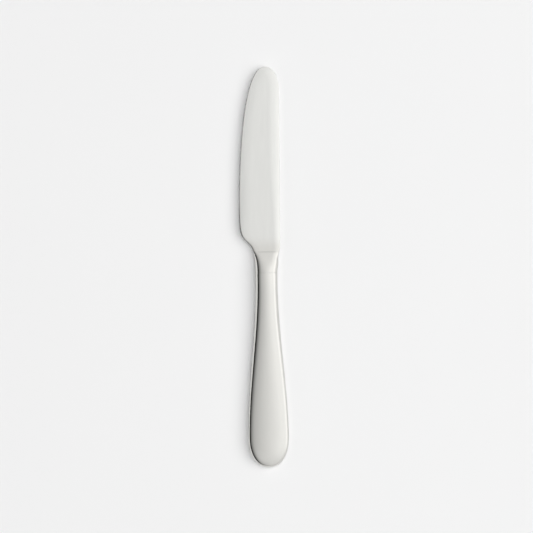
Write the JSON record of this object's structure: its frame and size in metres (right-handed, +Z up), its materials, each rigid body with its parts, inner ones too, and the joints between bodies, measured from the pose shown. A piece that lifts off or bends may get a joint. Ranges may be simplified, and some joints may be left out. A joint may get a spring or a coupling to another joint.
{
  "type": "butter knife",
  "caption": "Hollow-handled steel butter knife with a broad round-tipped blade, an oval neck and a handle that swells to a rounded butt.",
  "frame": {"origin": "centre of the bounding box in X and Y, at the lowest point of the handle in Z, where the knife lies on a table", "axes": "+Y runs from the butt of the handle to the tip of the blade, +X is the spine side, +Z is up from the table"},
  "size_m": [0.0204, 0.175, 0.0072],
  "materials": {
    "blade_steel": "satin",
    "handle_steel": "polished",
    "braze": "satin",
    "filler": "matte"
  },
  "bodies": {
    "root": {"blade": "blade_steel", "handle_shell_front": "handle_steel", "handle_shell_back": "handle_steel", "seam_braze": "braze", "neck_braze": "braze", "handle_core": "filler"}
  },
  "joints": []
}
